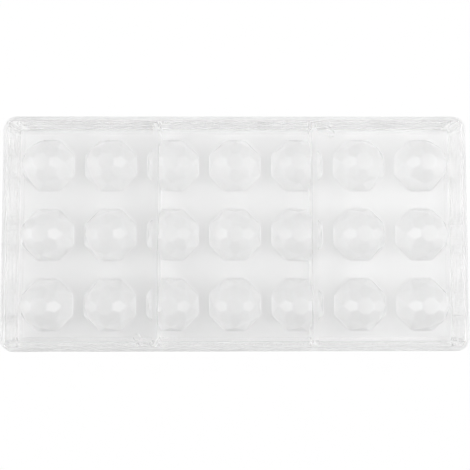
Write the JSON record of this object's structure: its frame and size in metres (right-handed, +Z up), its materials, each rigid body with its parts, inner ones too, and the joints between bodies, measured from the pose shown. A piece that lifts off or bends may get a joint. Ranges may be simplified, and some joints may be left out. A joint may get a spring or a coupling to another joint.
{
  "type": "chocolate mould",
  "caption": "Clear rigid mould in one piece, with rows of faceted half-ball cavities, a skirt all round and two cross ribs, lying upside down on its pouring face.",
  "frame": {"origin": "middle of the pouring face, which is the lowest face as the mould lies here, upside down", "axes": "+X along the length, +Y across it, +Z up out of the open underside; the cavities open towards -Z"},
  "size_m": [0.275, 0.139, 0.024],
  "materials": {
    "clear_plastic": "clear and glossy"
  },
  "bodies": {
    "root": {"chocolate_mould": "clear_plastic"}
  },
  "joints": []
}
